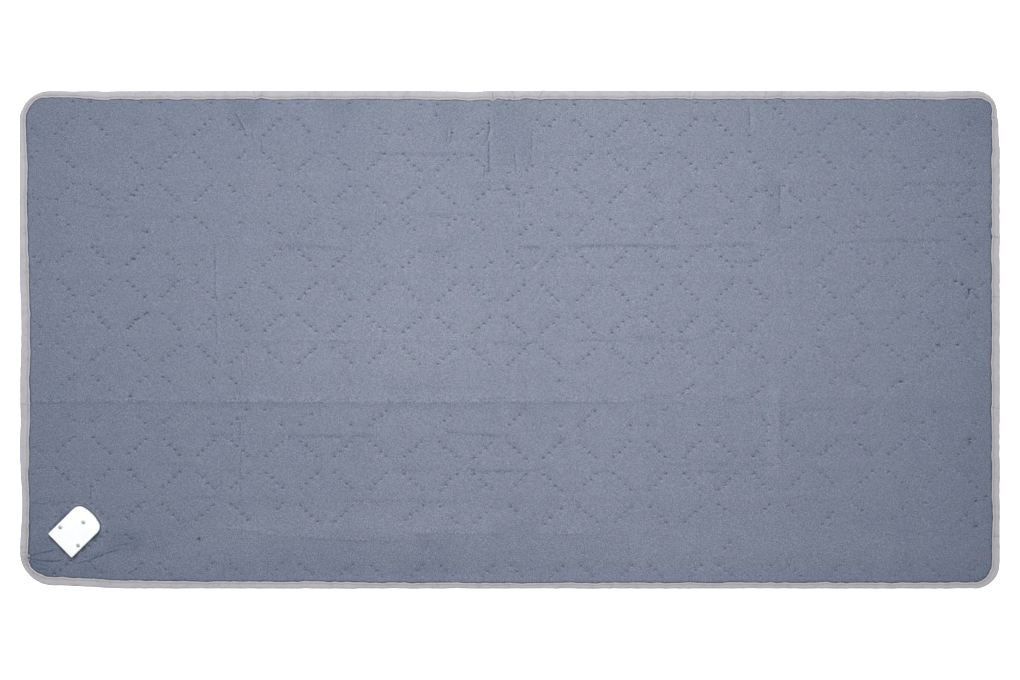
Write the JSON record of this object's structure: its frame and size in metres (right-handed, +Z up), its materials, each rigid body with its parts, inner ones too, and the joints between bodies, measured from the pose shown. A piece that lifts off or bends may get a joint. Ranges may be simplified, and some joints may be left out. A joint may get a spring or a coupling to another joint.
{
  "type": "electric heated blanket",
  "caption": "Flat electric heated blanket of bonded fleece with a folded tape binding and a corner housing for its plug-in lead.",
  "frame": {"origin": "on the ground under the middle of the blanket", "axes": "+X along the blanket's length, +Y across it, +Z up; the inlet housing is at the -X, -Y corner"},
  "size_m": [1.6, 0.813, 0.0125],
  "materials": {
    "fleece": "short brushed pile in a blue grey",
    "binding_tape": "woven tape in a warm light grey",
    "housing_plastic": "white moulded plastic, satin",
    "screw_steel": "plain steel"
  },
  "bodies": {
    "root": {"panel": "fleece", "binding": "binding_tape", "inlet_housing": "housing_plastic", "screw_1": "screw_steel", "screw_2": "screw_steel", "screw_3": "screw_steel"}
  },
  "joints": []
}
